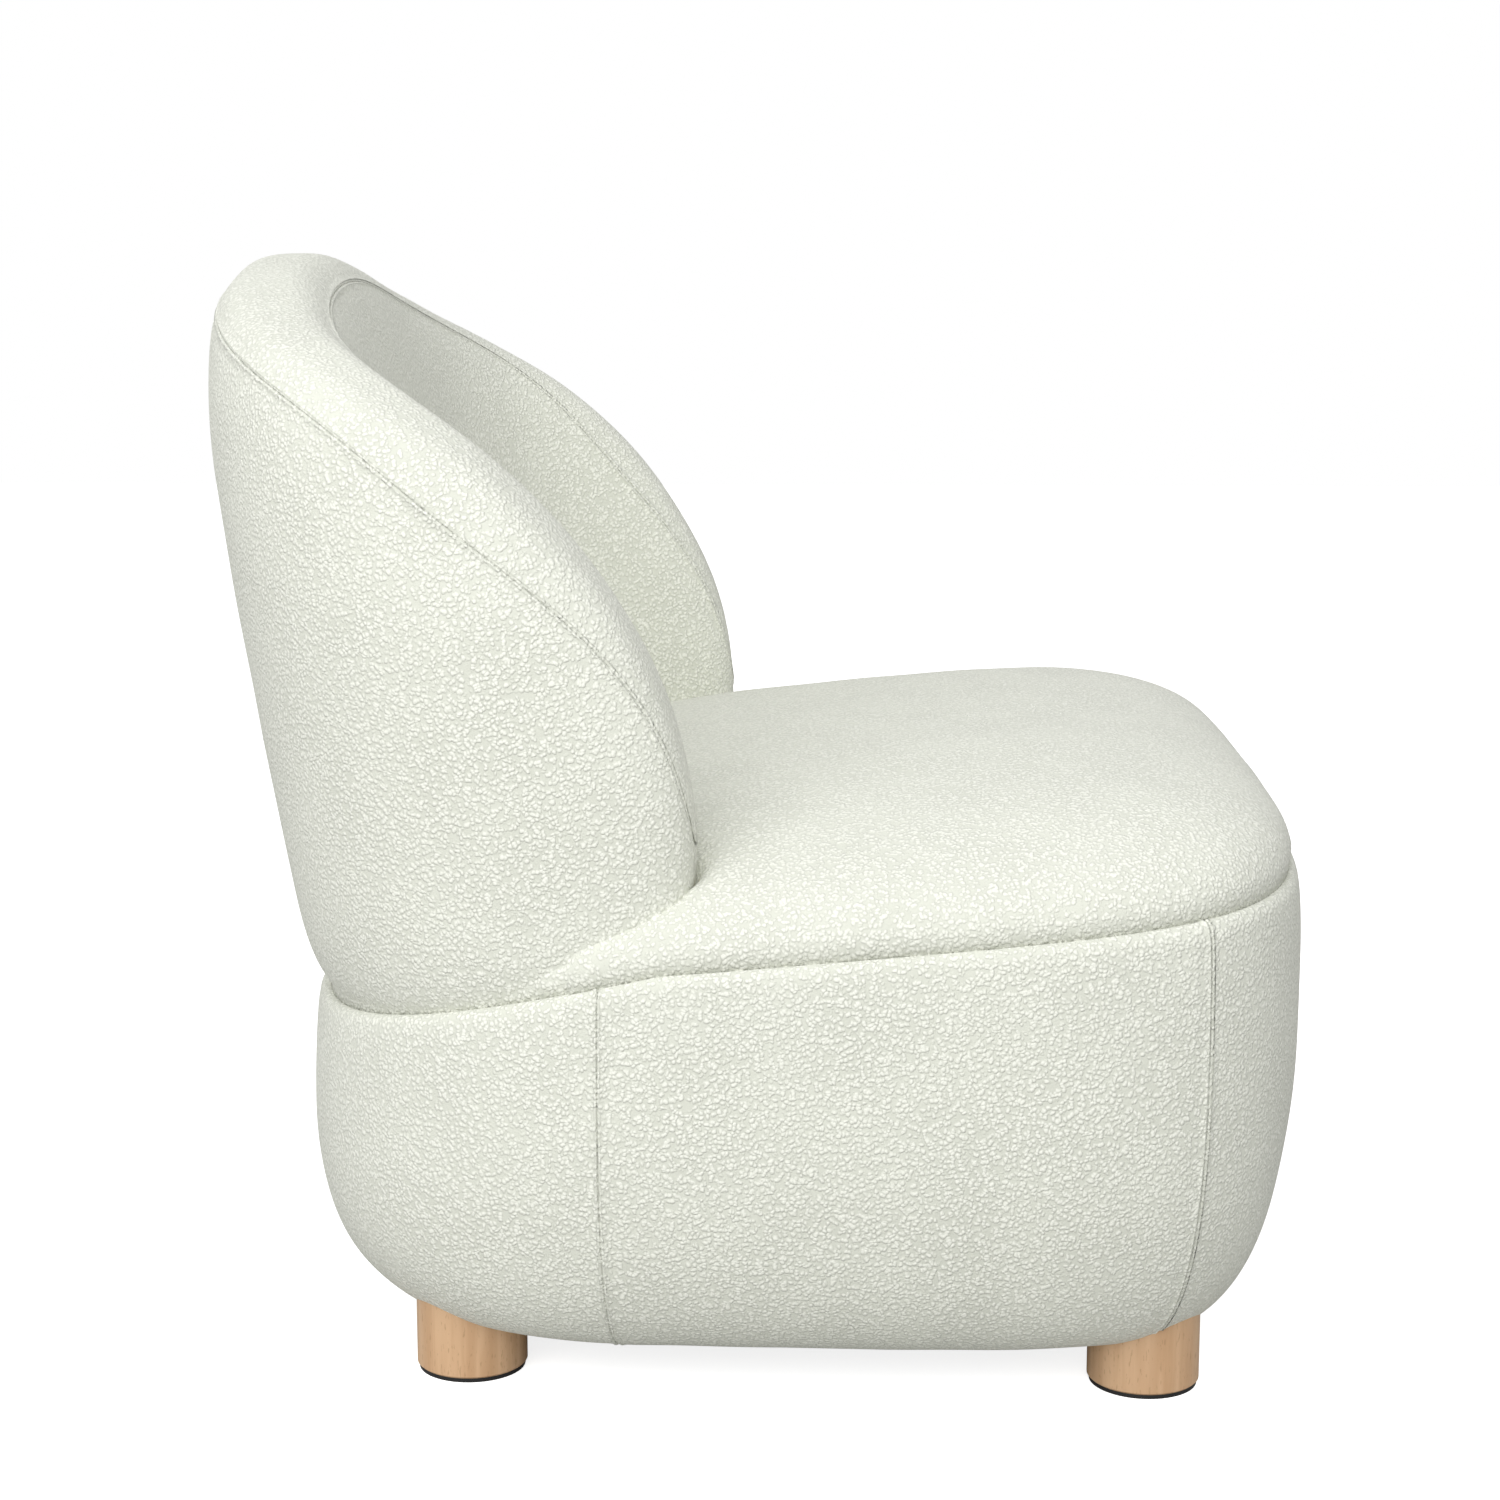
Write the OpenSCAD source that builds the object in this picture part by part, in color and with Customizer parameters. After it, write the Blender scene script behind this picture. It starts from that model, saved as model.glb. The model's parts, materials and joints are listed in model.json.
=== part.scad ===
// Upholstered tub lounge chair: a padded base, a wrap-around back and four turned wooden legs.
// Frame: origin on the floor under the middle of the bounding box, front toward -Y, +Z up.

/* [Overall] */
// Half of the width across the base
half_w = 420; // [340:1:520]
// Depth of the base in front of its widest line
front_depth = 345; // [290:1:420]
// Depth of the base behind its widest line
rear_depth = 362; // [300:1:430]
// Squareness of the front of the plan, 2 is an ellipse
front_square = 4.4; // [3.5:0.1:6]
// Squareness of the rear of the plan
rear_square = 3.15; // [2.6:0.05:4]

/* [Base] */
// Height of the lowest upholstery above the floor
base_bottom = 34; // [28:1:60]
// Height of the seam round the seat, on the middle line of the plan
seam_z = 308; // [280:1:360]
// Fall of that seam per millimetre toward the rear
seam_rake = 0.093; // [0:0.001:0.15]
// Extra fall of the shoulder under the back, per millimetre
shoulder_drop = 0.15; // [0:0.01:0.2]
// Height of the crown over the seam line
crown_rise = 96; // [60:1:130]
// Rounding of the bottom edge, measured inward
bottom_round = 94; // [60:1:96]
// Squareness of the rounded bottom edge
bottom_square = 2.6; // [2:0.1:4]
// Squareness of the seat dome
dome_square = 2.6; // [2:0.1:4]

/* [Back] */
// Height of the top of the back
back_top = 755; // [650:1:900]
// Height of the lowest line of the back
back_bottom = 240; // [225:1:270]
// Height of the foremost points of the wings
wing_z = 379; // [350:1:420]
// Angle in plan from the rear centre to a wing's front
wing_reach = 79.5; // [60:0.5:100]
// Half of the thickness of the back
back_half = 64; // [56:1:80]
// Backward lean of the rear of the back
back_lean = 10; // [4:0.5:14]
// Squareness of the upper half of the back's section
back_upper_square = 3.3; // [2.4:0.1:5]
// Squareness of the lower half of the back's section
back_lower_square = 5; // [3:0.1:6]

/* [Upholstery] */
// Thickness of the cover fabric
cover_t = 2.5; // [1.5:0.1:4]
// Clearance between neighbouring pieces
gap = 0.3; // [0.2:0.1:1]
// Room for the loose wadding between the foam and the covers
wadding = 2.6; // [2:0.1:4]
// Angle in plan of the rear side seams, up from the +X axis
rear_seam_angle = 17.7; // [12:0.1:24]
// Angle in plan of the front corner seams, down from the +X axis
front_seam_angle = 33.7; // [28:0.1:40]

/* [Frame] */
// Thickness of the plywood plates
ply_t = 18; // [15:1:22]
// Underside of the base plate, where the legs end
plate_z = 54; // [48:1:64]
// Height of the frame from the underside of the base plate to the top of the seat plate
frame_h = 168; // [150:1:172]
// Distance of the base plate's edge inside the plan
plate_inset = 54; // [52:1:70]
// Distance of the seat plate's edge inside the plan
seat_inset = 46.3; // [44:0.1:56]
// How far the base plate's opening lies inside the plan
plate_opening = 150; // [130:1:200]
// How far the seat plate's opening lies inside the plan
seat_opening = 122; // [100:1:124]
// Thickness of the rails
rail_t = 22; // [18:1:28]
// Distance of the front rail's face inside the plan
front_rail_inset = 104; // [96:1:116]
// Distance of the side rails' faces inside the plan
side_rail_inset = 120; // [112:1:126]
// Thickness of the back posts
post_t = 24; // [18:1:28]
// Width of the back posts
post_w = 42; // [30:1:56]

/* [Suspension] */
// Number of seat springs
spring_count = 5; // [3:1:6]
// Wire of the seat springs
spring_wire = 3.6; // [3:0.1:4.5]
// Width of a spring
spring_w = 46; // [34:1:56]
// Distance from one spring to the next
spring_spacing = 92; // [80:1:100]
// Distance of a spring's ends inside the plan
spring_inset = 116; // [110:1:118]
// Distance between a spring's cross bars
spring_pitch = 25; // [22:0.5:32]

/* [Legs] */
// Diameter of a leg
leg_d = 76; // [60:1:84]
// Distance of the front legs' centres inside the side of the plan
front_leg_side = 106; // [100:1:120]
// Distance of the front legs' centres inside the front of the plan
front_leg_end = 114; // [106:1:124]
// Distance of the rear legs' centres inside the side of the plan
rear_leg_side = 120; // [112:1:130]
// Distance of the rear legs' centres inside the rear of the plan
rear_leg_end = 132; // [122:1:140]
// Thickness of a glide under a leg
glide_t = 3; // [2:0.5:5]
// Diameter of the leg bolts
bolt_d = 8; // [6:1:10]

/* [Hidden] */
$fn = 64;

plan_step = 6;
seam_gap = 0.04;
seat_top_z = plate_z + frame_h;
post_bottom_z = plate_z + ply_t;
cloth_t = 2;
cloth_z = seat_top_z + spring_wire + 2;
foam_z = cloth_z + cloth_t + gap;
belly_drop = 75;
front_edge_inset = 5;
groove_inset = 3;
core_mid = -8;
board_t = 4;
core_outer = core_mid + post_t / 2;
core_inner = core_mid - post_t / 2;
lower_rib_z = back_bottom + 50;
upper_rib_z = back_top - 159;
post_angles = [158, 132, 90, 48, 22];
post_cover = 68;

// The middle line of the plan lies where the bounding box is centred between the front of the base and
// the rearmost point of the back, whose flat facets stay a little inside the curve
back_rearmost = max([
    for (q = [0:5:90])
        let (z = wing_z + (back_top - wing_z) * pow(sin(q), 2 / back_upper_square))
        rear_depth + tan(back_lean) * (z - back_bottom) - back_half * (1 - pow(cos(q), 2 / back_upper_square))
]);
facet_sag = 0.4;
plan_mid_y = round(5 * (front_depth - back_rearmost + facet_sag)) / 10;
leg_places = [
    [front_leg_side - half_w, plan_mid_y - front_depth + front_leg_end],
    [half_w - front_leg_side, plan_mid_y - front_depth + front_leg_end],
    [rear_leg_side - half_w, plan_mid_y + rear_depth - rear_leg_end],
    [half_w - rear_leg_side, plan_mid_y + rear_depth - rear_leg_end],
];

nut_d = bolt_d + 3;
screw_d = 4.5;
screw_l = 48;
screw_head_d = 9;
screw_head_t = 3;

fabric = [0.93, 0.94, 0.89];
foam = [0.96, 0.93, 0.80];
beech = [0.86, 0.72, 0.58];
ply = [0.80, 0.68, 0.50];
steel = [0.62, 0.64, 0.66];
black = [0.08, 0.08, 0.09];

// ---- Shapes shared by the covers, the foam and the frame ----

function sgnpow(v, e) = sign(v) * pow(abs(v), e);
function square_at(a) = sin(a) >= 0 ? rear_square : front_square;
function depth_at(a) = sin(a) >= 0 ? rear_depth : front_depth;

// Radius of the plan at an angle: a superellipse, squarer in front than at the rear
function plan_radius(a) =
    let (n = square_at(a))
    pow(pow(abs(cos(a)) / half_w, n) + pow(abs(sin(a)) / depth_at(a), n), -1 / n);

// Outward direction square to the plan at an angle
function plan_normal(a) =
    let (n = square_at(a), r = plan_radius(a), x = r * cos(a) / half_w, y = r * sin(a) / depth_at(a))
    let (d = [sgnpow(x, n - 1) / half_w, sgnpow(y, n - 1) / depth_at(a)])
    d / norm(d);

// Point of the plan moved outward by an offset, at a height
function plan_point(a, out, z) =
    let (r = plan_radius(a), n = plan_normal(a))
    [r * cos(a) + n[0] * out, plan_mid_y + r * sin(a) + n[1] * out, z];

// The superellipse's own parameter at a plan angle, and the angle at a parameter: even steps of the
// parameter put more points where the plan bends more
function same_turn(v, a) = v + 360 * round((a - v) / 360);
function plan_t(a) =
    let (n = square_at(a) / 2)
    same_turn(atan2(sgnpow(sin(a) / depth_at(a), n), sgnpow(cos(a) / half_w, n)), a);
function plan_a(t) =
    let (n = 2 / square_at(t))
    same_turn(atan2(sgnpow(sin(t), n) * depth_at(t), sgnpow(cos(t), n) * half_w), t);
ring = [for (t = [0:plan_step:359]) plan_a(t)];

// Outline of a plate, parallel to the plan at a distance inside it
function outline(inset) = [for (a = ring) let (p = plan_point(a, -inset, 0)) [p[0], p[1]]];

// Outline of a wide opening: the same superellipse with its half axes shortened by b
function opening(b) = [
    for (a = ring)
    let (n = square_at(a), r = pow(pow(abs(cos(a)) / (half_w - b), n) + pow(abs(sin(a)) / (depth_at(a) - b), n), -1 / n))
    [r * cos(a), plan_mid_y + r * sin(a)]
];

function plan_y(a) = plan_mid_y + plan_radius(a) * sin(a);

// Height of the seam, which drops further where the back stands on the base
function shoulder_z(a) =
    let (y = plan_y(a) - plan_mid_y - 33)
    seam_z - seam_rake * y - shoulder_drop * max(0, y - 60);

function belly_z(a) = shoulder_z(a) - belly_drop;

// Inset of the base's side at a height, shrunk by g
function base_inset(a, z, g) =
    let (low = base_bottom + g, mid = belly_z(a), top = shoulder_z(a))
    let (e = front_edge_inset + (top < seam_z - 20 ? groove_inset : 0))
    z < mid
        ? g + bottom_round * (1 - pow(1 - pow(min(1, (mid - z) / (mid - low)), bottom_square), 1 / bottom_square))
        : g + e * (1 - pow(1 - pow(min(1, (z - mid) / (top - mid)), 2.5), 0.4));

// Rows of heights from the bottom rim to a top height, closer together near the rim
function rows(low, top, n) = [for (i = [0:n]) low + (top - low) * (1 - cos(90 * i / n))];

// Closed solid from planar closed sections, one after another. A section runs out along one face and
// back along the other: the ends close with a ladder between the two, and the second half splits its
// facets the other way, so the two faces of a thin panel stay parallel
module sweep(sections) {
    n = len(sections[0]);
    m = len(sections);
    ladder = [for (i = [0:floor(n / 2) - 1]) if (i + 1 < n - 1 - i) i];
    polyhedron(
        points = [for (s = sections) each s],
        faces = concat(
            [for (i = ladder) i + 1 < n - 2 - i ? [n - 1 - i, n - 2 - i, i + 1, i] : [n - 1 - i, i + 1, i]],
            [for (i = ladder) [for (j = i + 1 < n - 2 - i ? [i, i + 1, n - 2 - i, n - 1 - i] : [i, i + 1, n - 1 - i])
                (m - 1) * n + j]],
            [
                for (k = [0:m - 2], i = [0:n - 1])
                let (a = k * n + i, b = k * n + (i + 1) % n)
                each i < n / 2 ? [[a, b, a + n], [b, b + n, a + n]] : [[a, b, b + n], [a, b + n, a + n]]
            ]
        ),
        convexity = 10
    );
}

function angles(a0, a1) =
    let (t0 = plan_t(a0), t1 = plan_t(a1), n = ceil((t1 - t0) / plan_step))
    [for (i = [0:n]) plan_a(t0 + (t1 - t0) * i / n)];

// Point of the seat dome: r is 1 on the seam and 0 in the middle
function dome_point(a, r, g) =
    let (top = shoulder_z(a), e = front_edge_inset + (top < seam_z - 20 ? groove_inset : 0))
    let (edge = plan_point(a, -e - g, top), y = plan_mid_y + (edge[1] - plan_mid_y) * r)
    let (crown = seam_z + crown_rise - seam_rake * (y - plan_mid_y) - g)
    let (s = pow(1 - pow(r, dome_square), 1 / dome_square))
    [edge[0] * r, y, top * (1 - s) + crown * s];

// ---- The back ----

// Station of the back: 0 at the rear centre, 1 at a wing's front; thickness and heights close there
function back_angle(s, g) = 90 + s * (wing_reach + g / 7.3);
function back_upper(s, g) = (back_top + g - wing_z) * sqrt(max(0, 1 - s * s));
function back_lower(s, g) = (wing_z - back_bottom + g) * pow(max(0, 1 - pow(abs(s), 3.1)), 1 / 3.1);
function back_thick(s, g) = (back_half + g) * pow(max(0, 1 - pow(abs(s), 3.5)), 1 / 3.5);
function back_shift(a, z) = -back_half + tan(back_lean) * (z - back_bottom) * max(0, plan_normal(a)[1]);

// Point of the back's surface at station s and section angle q, 0 outward and 90 up, grown by g
function back_point(s, q, g, lo = -999) =
    let (e = 2 / (sin(q) >= 0 ? back_upper_square : back_lower_square), a = back_angle(s, g))
    let (z = wing_z + (sin(q) >= 0 ? back_upper(s, g) : back_lower(s, g)) * sgnpow(sin(q), e))
    let (t = max(lo, back_thick(s, g) * sgnpow(cos(q), e)))
    plan_point(a, back_shift(a, z) + t, z);

// Stations, closer together toward the wings' fronts
function stations(limit) =
    let (inner = [for (v = [-86, for (w = [-80:5:80]) w, 86]) if (abs(v) < limit - 2) v])
    [for (u = concat([-limit], inner, [limit])) sin(u)];
function section_angles(step) = [for (q = [0:step:360 - step]) q];

module back_form(g) {
    sweep([for (s = stations(89.6)) [for (q = section_angles(15)) back_point(s, q, g)]]);
}

// Section angle of the seam beside the edge strip, which runs out at the wings' fronts
function seam_q(s) =
    3 + (41 + 22 / (1 + pow(abs(s) / 0.7, 12))) * pow(max(0, 1 - pow(abs(s), 40)), 1 / 3);

// One cover panel of the back between two section angles that follow the seams
module back_panel(q0, q1, side) {
    n = 8;
    sweep([
        for (s = stations(89.4))
        let (a0 = q0 + side[0] * seam_q(s) + 0.4, a1 = q1 + side[1] * seam_q(s) - 0.4)
        concat(
            [for (i = [0:n]) back_point(s, a0 + (a1 - a0) * i / n, 0)],
            [for (i = [n:-1:0]) back_point(s, a0 + (a1 - a0) * i / n, -cover_t)]
        )
    ]);
}

// ---- Panels and wraps of the base ----

hem_inset = bottom_round + 4;
hem_w = 12;
hem_z = plate_z - gap;

// Section of a cover panel: down the outside, up to the hem stapled under the base plate, and back inside
function panel_section(a) =
    let (n = 12, top = shoulder_z(a) - gap)
    let (out = rows(base_bottom, top, n), in = rows(base_bottom + cover_t, top, n))
    concat(
        [plan_point(a, -hem_inset - hem_w, hem_z - cover_t), plan_point(a, -hem_inset, hem_z - cover_t)],
        [for (z = out) plan_point(a, -base_inset(a, z, 0), z)],
        [for (i = [n:-1:1]) plan_point(a, -base_inset(a, in[i], cover_t), in[i])],
        [plan_point(a, cover_t - bottom_round, base_bottom + cover_t), plan_point(a, cover_t - hem_inset, hem_z)],
        [plan_point(a, -hem_inset - hem_w, hem_z)]
    );
module base_panel(a0, a1) {
    color(fabric) difference() {
        sweep([for (a = angles(a0 + seam_gap, a1 - seam_gap)) panel_section(a)]);
        leg_holes();
    }
}

// Foam between the cover and the frame, standing on the base plate
function wrap_section(a) =
    let (low = post_bottom_z + gap, top = foam_z - gap)
    concat(
        [for (z = rows(low, top, 7)) plan_point(a, -base_inset(a, z, pad), z)],
        [plan_point(a, wadding - seat_inset, top), plan_point(a, wadding - seat_inset, low)]
    );
module base_wrap(a0, a1) {
    sweep([for (a = angles(a0 + seam_gap, a1 - seam_gap)) wrap_section(a)]);
}

// Openings round the legs, cut with flat facets outside the leg's circle
module leg_holes() {
    n = 32;
    r = (leg_d / 2 + gap) / cos(180 / n);
    for (p = leg_places) translate([p[0], p[1], -1]) linear_extrude(plate_z + 1)
        polygon([for (i = [0:n - 1]) r * [cos(360 * i / n), sin(360 * i / n)]]);
}

// The seat dome is a grid: columns round the plan, rows from the seam to a point in the middle
dome_rows = [1, 0.985, 0.95, 0.88, 0.74, 0.5, 0.25];
columns = len(ring);
function at(row, i) = row * columns + i % columns;

// Faces of one dome grid that starts at a row, seen from above, or from below when flipped
function dome_faces(row, flipped) =
    let (last = row + len(dome_rows) - 1)
    [
        for (k = [row:last - 1], i = [0:columns - 1])
            each flipped
                ? [[at(k, i), at(k, i + 1), at(k + 1, i)], [at(k, i + 1), at(k + 1, i + 1), at(k + 1, i)]]
                : [[at(k, i), at(k + 1, i), at(k, i + 1)], [at(k, i + 1), at(k + 1, i), at(k + 1, i + 1)]],
    ];

// Solid under the dome, shrunk by g, down to the level of the seat foam
module seat_dome(g) {
    m = len(dome_rows);
    polyhedron(
        points = concat(
            [for (a = ring) let (p = dome_point(a, 1, g)) [p[0], p[1], foam_z]],
            [for (r = dome_rows, a = ring) dome_point(a, r, g)],
            [dome_point(0, 0, g)]
        ),
        faces = concat(
            [[for (i = [0:columns - 1]) i]],
            [
                for (i = [0:columns - 1])
                each [[at(0, i), at(1, i), at(0, i + 1)], [at(0, i + 1), at(1, i), at(1, i + 1)]]
            ],
            dome_faces(1, false),
            [for (i = [0:columns - 1]) [at(m, i), (m + 1) * columns, at(m, i + 1)]]
        ),
        convexity = 4
    );
}

// The seat panel: the dome's surface with the thickness of the cover
module dome_shell() {
    m = len(dome_rows);
    tips = 2 * m * columns;
    polyhedron(
        points = concat(
            [for (r = dome_rows, a = ring) dome_point(a, r, 0)],
            [for (r = dome_rows, a = ring) dome_point(a, r, cover_t)],
            [dome_point(0, 0, 0), dome_point(0, 0, cover_t)]
        ),
        faces = concat(
            dome_faces(0, false),
            dome_faces(m, true),
            [for (i = [0:columns - 1]) [at(m - 1, i), tips, at(m - 1, i + 1)]],
            [for (i = [0:columns - 1]) [at(2 * m - 1, i), at(2 * m - 1, i + 1), tips + 1]],
            [for (i = [0:columns - 1]) each [[at(0, i), at(0, i + 1), at(m, i)], [at(0, i + 1), at(m, i + 1), at(m, i)]]]
        ),
        convexity = 4
    );
}

// ---- Frame ----

module plan_band(inset0, inset1, z, t) {
    translate([0, 0, z]) linear_extrude(t) difference() {
        polygon(outline(inset0));
        polygon(opening(inset1));
    }
}

module base_plate() {
    color(ply) difference() {
        plan_band(plate_inset, plate_opening, plate_z, ply_t);
        for (p = leg_places) translate([p[0], p[1], plate_z - 1]) cylinder(d = nut_d + 2 * gap, h = ply_t + 2);
        screw_set(gap);
        post_bolt_set(gap);
    }
}

module seat_plate() {
    color(ply) difference() {
        plan_band(seat_inset, seat_opening, seat_top_z - ply_t, ply_t);
        all_posts(gap);
        screw_set(gap);
    }
}

rail_h = frame_h - 2 * ply_t;
front_rail_l = 2 * (half_w - 170);
rear_rail_l = 2 * (half_w - 270);
side_rail_y = plan_mid_y - front_depth + 176;
side_rail_l = front_depth + rear_depth - 417;
module rail(x, y, w, d) {
    color(ply) difference() {
        translate([x, y, post_bottom_z]) cube([w, d, rail_h]);
        screw_set(gap);
    }
}
front_rail_y = plan_mid_y - front_depth + front_rail_inset;
rear_rail_y = plan_mid_y + rear_depth - back_half - 60;
side_rail_x = half_w - side_rail_inset;

module front_rail() { rail(-front_rail_l / 2, front_rail_y, front_rail_l, rail_t); }
module rear_rail() { rail(-rear_rail_l / 2, rear_rail_y - rail_t, rear_rail_l, rail_t); }
module left_rail() { rail(-side_rail_x, side_rail_y, rail_t, side_rail_l); }
module right_rail() { rail(side_rail_x - rail_t, side_rail_y, rail_t, side_rail_l); }

// A post ends below the back's top edge
function post_top(i) = wing_z + back_upper((post_angles[i] - 90) / wing_reach, 0) - post_cover;

// A back post stands on the base plate and leans with the back; g grows it on every side
module post_solid(i, g) {
    a = post_angles[i];
    n = plan_normal(a);
    lean = atan(tan(back_lean) * max(0, n[1]));
    foot = plan_point(a, back_shift(a, post_bottom_z) + core_mid, post_bottom_z);
    intersection() {
        translate(foot) rotate([0, 0, atan2(n[1], n[0])]) rotate([0, lean, 0])
            translate([-post_t / 2 - g, -post_w / 2 - g, -post_w]) cube([post_t + 2 * g, post_w + 2 * g, 1.1 * back_top]);
        translate([-2 * half_w, -2 * half_w, post_bottom_z])
            cube([4 * half_w, 4 * half_w, post_top(i) - post_bottom_z + g]);
    }
}
module all_posts(g) { for (i = [0:4]) post_solid(i, g); }
module post(i) {
    color(ply) difference() {
        post_solid(i, 0);
        post_bolt_set(gap);
        post_nut_set(gap);
    }
}

// Curved plywood rib through which the posts pass
module rib_solid(z, reach, out, g) {
    n = 48;
    translate([0, 0, z - g]) linear_extrude(ply_t + 2 * g) polygon(concat(
        [for (i = [0:n]) let (a = 90 - reach + 2 * reach * i / n, p = plan_point(a, back_shift(a, z) + core_inner - g, 0))
            [p[0], p[1]]],
        [for (i = [n:-1:0]) let (a = 90 - reach + 2 * reach * i / n, p = plan_point(a, back_shift(a, z) + out + g, 0))
            [p[0], p[1]]]
    ));
}
lower_reach = 70;
upper_reach = 50;
board_reach = 0.65;
board_gap = 1.8;
rib_out = back_half - cover_t - 29;
module back_lower_rib() {
    color(ply) difference() {
        rib_solid(lower_rib_z, lower_reach, rib_out, 0);
        all_posts(gap);
    }
}
module back_upper_rib() {
    color(ply) difference() {
        rib_solid(upper_rib_z, upper_reach, rib_out, 0);
        all_posts(gap);
    }
}

// Thin bent board that backs the inner padding, on the inner faces of the posts
module back_board() {
    out = core_inner - board_gap;
    in = out - board_t;
    z0 = lower_rib_z + ply_t + gap;
    z1 = upper_rib_z - gap;
    n = 6;
    color(ply) sweep([
        for (s = stations(89.4))
        if (abs(s) < board_reach)
        let (a = back_angle(s, -pad))
        concat(
            [for (i = [0:n]) let (z = z0 + (z1 - z0) * i / n) plan_point(a, back_shift(a, z) + out, z)],
            [for (i = [n:-1:0]) let (z = z0 + (z1 - z0) * i / n) plan_point(a, back_shift(a, z) + in, z)]
        )
    ]);
}

// ---- Fasteners of the frame ----

// A screw or bolt along +Z with its head at the start
module headed(d, l, head_d, head_t, g) {
    r = d / 2 + g;
    head_r = head_d / 2 + g;
    rotate_extrude() polygon([[0, 0], [head_r, 0], [head_r, head_t + g], [r, head_t + g], [r, l + g], [0, l + g]]);
}

screw_end = 40;
screw_spots = [
    for (k = [-1:1]) [k * (front_rail_l / 2 - screw_end), front_rail_y + rail_t / 2],
    for (k = [-1, 1]) [k * (rear_rail_l / 2 - screw_end), rear_rail_y - rail_t / 2],
    for (side = [-1, 1], y = [side_rail_y + screw_end, side_rail_y + side_rail_l - screw_end])
        [side * (side_rail_x - rail_t / 2), y],
];
module screw_set(g) {
    for (p = screw_spots) {
        translate([p[0], p[1], plate_z - g]) headed(screw_d, screw_l, screw_head_d, screw_head_t, g);
        translate([p[0], p[1], seat_top_z + g]) mirror([0, 0, 1])
            headed(screw_d, screw_l, screw_head_d, screw_head_t, g);
    }
}
module frame_screws() { color(steel) screw_set(0); }

bolt_head_d = 16;
bolt_head_t = 4;
post_bolt_l = 62;
post_nut_z = post_bottom_z + 28;
function post_foot(i) =
    let (a = post_angles[i])
    plan_point(a, back_shift(a, post_bottom_z + 22) + core_mid, 0);
module post_bolt_set(g) {
    for (i = [0:4]) translate([post_foot(i)[0], post_foot(i)[1], plate_z - g])
        headed(bolt_d, post_bolt_l, bolt_head_d, bolt_head_t, g);
}
// Barrel nuts across the posts; each takes the end of a post bolt
module post_nut_set(g) {
    for (i = [0:4]) {
        n = plan_normal(post_angles[i]);
        translate([post_foot(i)[0], post_foot(i)[1], post_nut_z]) rotate([0, 0, atan2(n[1], n[0])])
            rotate([90, 0, 0]) cylinder(d = 12 + 2 * g, h = post_w - 10 + 2 * g, center = true);
    }
}
module post_bolts() { color(steel) post_bolt_set(0); }
module post_nuts() {
    color(steel) difference() {
        post_nut_set(0);
        post_bolt_set(gap);
    }
}

// ---- Springs ----

spring_y0 = plan_mid_y - front_depth + spring_inset;
spring_span = front_depth + rear_depth - 2 * spring_inset;
spring_bars = floor(spring_span / spring_pitch) + 1;
wire_z = seat_top_z + spring_wire / 2;
function spring_x(k) = (k - (spring_count - 1) / 2) * spring_spacing;
function bar_y(i) = spring_y0 + (spring_span - (spring_bars - 1) * spring_pitch) / 2 + i * spring_pitch;

module spring_bar(k, i, d) {
    half = spring_w / 2 - spring_pitch / 2;
    translate([spring_x(k) - half, bar_y(i), wire_z]) rotate([0, 90, 0]) cylinder(d = d, h = 2 * half, $fn = 24);
}
// Flat zigzag spring: cross bars joined by half rings on alternate sides
module seat_spring(k) {
    half = spring_w / 2 - spring_pitch / 2;
    color(steel) if (k < spring_count) {
        for (i = [0:spring_bars - 1]) spring_bar(k, i, spring_wire);
        for (i = [0:spring_bars - 2])
            let (side = i % 2 == 0 ? 1 : -1)
            translate([spring_x(k) + side * half, bar_y(i) + spring_pitch / 2, wire_z])
                rotate([0, 0, side > 0 ? -90 : 90])
                rotate_extrude(angle = 180, $fn = 48) translate([spring_pitch / 2, 0]) circle(d = spring_wire, $fn = 24);
    }
}
module spring_clips() {
    clip_t = 1.4;
    color(steel) difference() {
        for (k = [0:spring_count - 1], i = [0, spring_bars - 1])
            translate([spring_x(k) - 7, bar_y(i) - 8, seat_top_z]) cube([14, 16, spring_wire + gap + clip_t]);
        for (k = [0:spring_count - 1], i = [0, spring_bars - 1]) {
            translate([spring_x(k) - 8, bar_y(i), wire_z]) rotate([0, 90, 0])
                cylinder(d = spring_wire + 2 * gap, h = 16, $fn = 24);
            translate([spring_x(k) - 8, bar_y(i) - spring_wire / 2 - gap, seat_top_z - 1])
                cube([16, spring_wire + 2 * gap, 1 + spring_wire / 2]);
        }
    }
}
module spring_cloth() {
    color(black) difference() {
        translate([0, 0, cloth_z]) linear_extrude(cloth_t)
            polygon(outline(seat_inset + 2));
        all_posts(gap);
    }
}

// ---- Foam ----

pad = cover_t + wadding;
module seat_foam() {
    color(foam) difference() {
        seat_dome(cover_t + gap);
        back_form(wadding);
        all_posts(gap);
    }
}
left_seam = 180 - rear_seam_angle;
left_front = 180 + front_seam_angle;
module front_foam() { color(foam) base_wrap(left_front, 360 - front_seam_angle); }
module left_foam() { color(foam) base_wrap(left_seam, left_front); }
module right_foam() { color(foam) base_wrap(-front_seam_angle, rear_seam_angle); }
module rear_foam() { color(foam) base_wrap(rear_seam_angle, left_seam); }

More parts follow.
